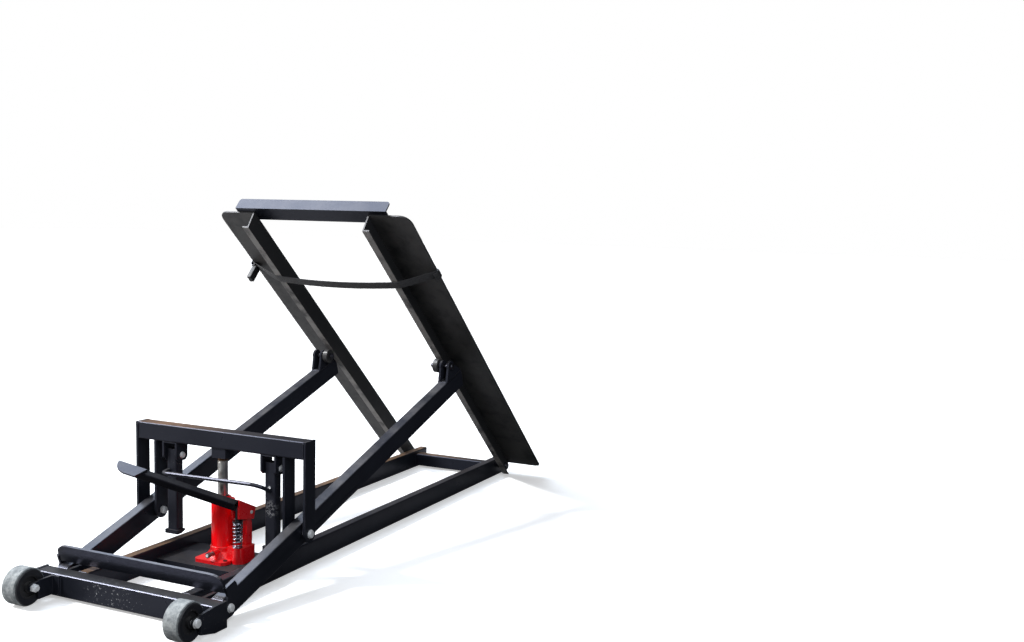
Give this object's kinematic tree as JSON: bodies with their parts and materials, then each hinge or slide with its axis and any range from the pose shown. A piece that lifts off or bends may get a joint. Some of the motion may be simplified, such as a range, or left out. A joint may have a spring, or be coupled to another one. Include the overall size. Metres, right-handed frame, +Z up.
{
  "type": "mower lift",
  "caption": "Foot-pumped lift that raises one end of a ride-on mower on a tilting platform with wheel tracks, a stop bar, safety struts, a bottle jack and front wheels.",
  "frame": {"origin": "centre of the bounding box at ground level, in the raised pose of the picture", "axes": "+X along the base rails from the wheels to the platform hinge, +Y to the left of someone looking along +X, +Z up"},
  "size_m": [1.707, 0.6046, 0.8958],
  "materials": {
    "black_paint": "semi-gloss powder coat",
    "zinc": "bright zinc plate",
    "red_paint": "gloss enamel",
    "polished_steel": "polished",
    "spring_steel": "zinc plated wire",
    "grey_rubber": "worn matt",
    "dark_hub": "matt",
    "roller_nylon": "satin",
    "webbing": "woven strap"
  },
  "bodies": {
    "base": {"front_cross_tube": "black_paint", "rear_cross_tube": "black_paint", "jack_tray": "black_paint", "base_rail_left": "black_paint", "base_rail_right": "black_paint", "end_plate_left": "black_paint", "end_plate_right": "black_paint", "wheel_bracket_left": "black_paint", "wheel_bracket_right": "black_paint", "axle_bolt_left": "zinc", "axle_bolt_right": "zinc", "pivot_ear_left": "black_paint", "pivot_ear_right": "black_paint", "arm_pivot_bolt_left": "zinc", "arm_pivot_bolt_right": "zinc", "hinge_pin_left": "zinc", "hinge_pin_right": "zinc", "jack_base": "red_paint", "jack_reservoir": "red_paint", "jack_cylinder": "polished_steel", "jack_cap": "red_paint"},
    "lift_arms": {"lift_arm_left": "black_paint", "lift_arm_right": "black_paint", "arm_tie_plate": "black_paint", "tip_roller_bolt_left": "zinc", "tip_roller_bolt_right": "zinc", "frame_pivot_bolt_left": "zinc", "frame_pivot_bolt_right": "zinc"},
    "lift_frame": {"frame_bar": "black_paint", "jack_saddle": "black_paint", "frame_leg_outer_left": "black_paint", "frame_leg_outer_right": "black_paint", "frame_leg_inner_left": "black_paint", "frame_leg_inner_right": "black_paint", "strut_fork_left": "black_paint", "strut_fork_right": "black_paint", "strut_bolt_left": "zinc", "strut_bolt_right": "zinc"},
    "safety_catch": {"safety_strut_left": "black_paint", "safety_strut_right": "black_paint", "release_rod": "black_paint"},
    "platform": {"platform_beam_left": "black_paint", "platform_beam_right": "black_paint", "wheel_stop": "black_paint", "strap": "webbing"},
    "wheel_left": {"wheel_tyre_left": "grey_rubber", "wheel_hub_left": "dark_hub"},
    "wheel_right": {"wheel_tyre_right": "grey_rubber", "wheel_hub_right": "dark_hub"},
    "roller_left": {"tip_roller_left": "roller_nylon"},
    "roller_right": {"tip_roller_right": "roller_nylon"},
    "ram": {"jack_ram": "polished_steel"},
    "pump_lever": {"handle_socket": "red_paint", "fulcrum_pin": "zinc", "pedal_lever": "black_paint", "pedal_plate": "black_paint"},
    "pump_plunger": {"pump_plunger": "zinc", "pump_spring": "spring_steel"},
    "release_valve": {"release_valve": "zinc"}
  },
  "joints": [
    {"name": "arm_lift", "type": "hinge", "parent": "base", "child": "lift_arms", "pos_m": [-0.6879, 0, 0.032], "axis": [0, -1, 0], "range_deg": [-18.38, 0]},
    {"name": "frame_level", "type": "hinge", "parent": "lift_arms", "child": "lift_frame", "pos_m": [-0.41364, 0, 0.12313], "axis": [0, -1, 0], "range_deg": [0, 18.38]},
    {"name": "catch_swing", "type": "hinge", "parent": "lift_frame", "child": "safety_catch", "pos_m": [-0.41364, 0, 0.268], "axis": [0, 1, 0], "range_deg": [0, 77.3]},
    {"name": "platform_tilt", "type": "hinge", "parent": "base", "child": "platform", "pos_m": [0.8315, 0, 0.03], "axis": [0, 1, 0], "range_deg": [-15, 0]},
    {"name": "ram_slide", "type": "slide", "parent": "base", "child": "ram", "axis": [0, 0, 1], "range_m": [-0.0915, 0]},
    {"name": "pedal_press", "type": "hinge", "parent": "base", "child": "pump_lever", "pos_m": [-0.3985, -0.06, 0.148], "axis": [0, -1, 0], "range_deg": [0, 10], "stiffness_Nm_per_rad": 6, "springref_deg": -34.38},
    {"name": "plunger_slide", "type": "slide", "parent": "base", "child": "pump_plunger", "axis": [0, 0, -1], "range_m": [0, 0.0078], "deforming": ["pump_spring"]},
    {"name": "release_valve_turn", "type": "hinge", "parent": "base", "child": "release_valve", "pos_m": [-0.4635, -0.006, 0.052], "axis": [1, 0, 0], "range_deg": [0, 90]},
    {"name": "wheel_spin_left", "type": "hinge", "parent": "base", "child": "wheel_left", "pos_m": [-0.8115, 0.221, 0.042], "axis": [0, 1, 0], "continuous": true},
    {"name": "wheel_spin_right", "type": "hinge", "parent": "base", "child": "wheel_right", "pos_m": [-0.8115, -0.221, 0.042], "axis": [0, 1, 0], "continuous": true},
    {"name": "roller_spin_left", "type": "hinge", "parent": "lift_arms", "child": "roller_left", "pos_m": [0.31682, 0.189, 0.43012], "axis": [0, 1, 0], "continuous": true},
    {"name": "roller_spin_right", "type": "hinge", "parent": "lift_arms", "child": "roller_right", "pos_m": [0.31682, -0.189, 0.43012], "axis": [0, 1, 0], "continuous": true}
  ],
  "couplings": [
    {"joint": "frame_level", "follows": "arm_lift", "ratio": -1},
    {"joint": "catch_swing", "follows": "arm_lift", "ratio": -4.2},
    {"joint": "platform_tilt", "follows": "arm_lift", "ratio": 0.815},
    {"joint": "ram_slide", "follows": "arm_lift", "m_per_rad": 0.284},
    {"joint": "plunger_slide", "follows": "pedal_press", "m_per_rad": 0.0436}
  ]
}
